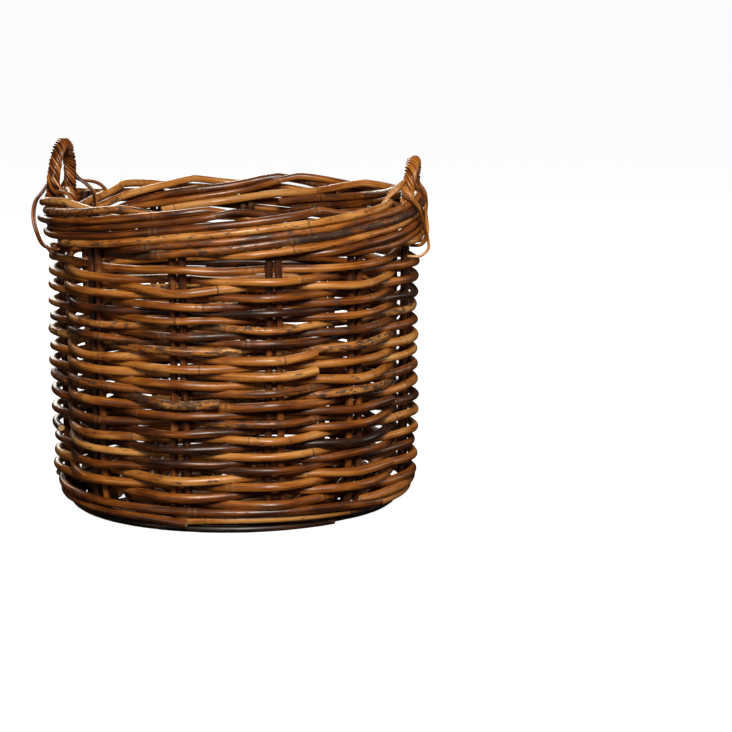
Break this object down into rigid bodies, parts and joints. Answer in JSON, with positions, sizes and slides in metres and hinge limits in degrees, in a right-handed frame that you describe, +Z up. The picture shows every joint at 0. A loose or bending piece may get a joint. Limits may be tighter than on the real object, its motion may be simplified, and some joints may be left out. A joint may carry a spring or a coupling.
{
  "type": "laundry basket",
  "caption": "Round open laundry basket woven from rattan rods over upright stakes, with a thick rod border, a woven base on a foot ring and an upright roped handle each side",
  "frame": {"origin": "centre of the foot on the floor, on the basket's centre line", "axes": "+X through the right handle, the line through both handles; +Y to the back; +Z up, out of the mouth"},
  "size_m": [0.5976, 0.5747, 0.558],
  "materials": {
    "weaving_rods": "varnished whole rattan rods, golden to reddish brown with dark mottling and node rings",
    "stakes": "varnished rattan rods, golden brown",
    "foot_rods": "dark reddish brown rattan rods, dull underneath",
    "handle_cane": "thin twisted canes, varnished, mid brown"
  },
  "bodies": {
    "root": {"base_sticks_lower": "stakes", "base_sticks_upper": "stakes", "base_weave_inner": "weaving_rods", "base_weave_outer": "weaving_rods", "bottom_wale": "weaving_rods", "foot_ring": "foot_rods", "handle_left_core": "handle_cane", "handle_left_lashing": "handle_cane", "handle_left_wrap": "handle_cane", "handle_right_core": "handle_cane", "handle_right_lashing": "handle_cane", "handle_right_wrap": "handle_cane", "rim_inner_1": "weaving_rods", "rim_inner_2": "weaving_rods", "rim_inner_3": "weaving_rods", "rim_inner_4": "weaving_rods", "rim_outer_1": "weaving_rods", "rim_outer_2": "weaving_rods", "rim_outer_3": "weaving_rods", "rim_outer_4": "weaving_rods", "rim_outer_5": "weaving_rods", "stake_pair_01": "stakes", "stake_pair_02": "stakes", "stake_pair_03": "stakes", "stake_pair_04": "stakes", "stake_pair_05": "stakes", "stake_pair_06": "stakes", "stake_pair_07": "stakes", "stake_pair_08": "stakes", "stake_pair_09": "stakes", "stake_pair_10": "stakes", "stake_pair_11": "stakes", "weave_band_01": "weaving_rods", "weave_band_02": "weaving_rods", "weave_band_03": "weaving_rods", "weave_band_04": "weaving_rods", "weave_band_05": "weaving_rods", "weave_band_06": "weaving_rods", "weave_band_07": "weaving_rods", "weave_band_08": "weaving_rods", "weave_band_09": "weaving_rods", "weave_band_10": "weaving_rods", "weave_band_11": "weaving_rods", "weave_band_12": "weaving_rods", "weave_band_13": "weaving_rods", "weave_band_14": "weaving_rods", "weave_band_15": "weaving_rods"}
  },
  "joints": []
}
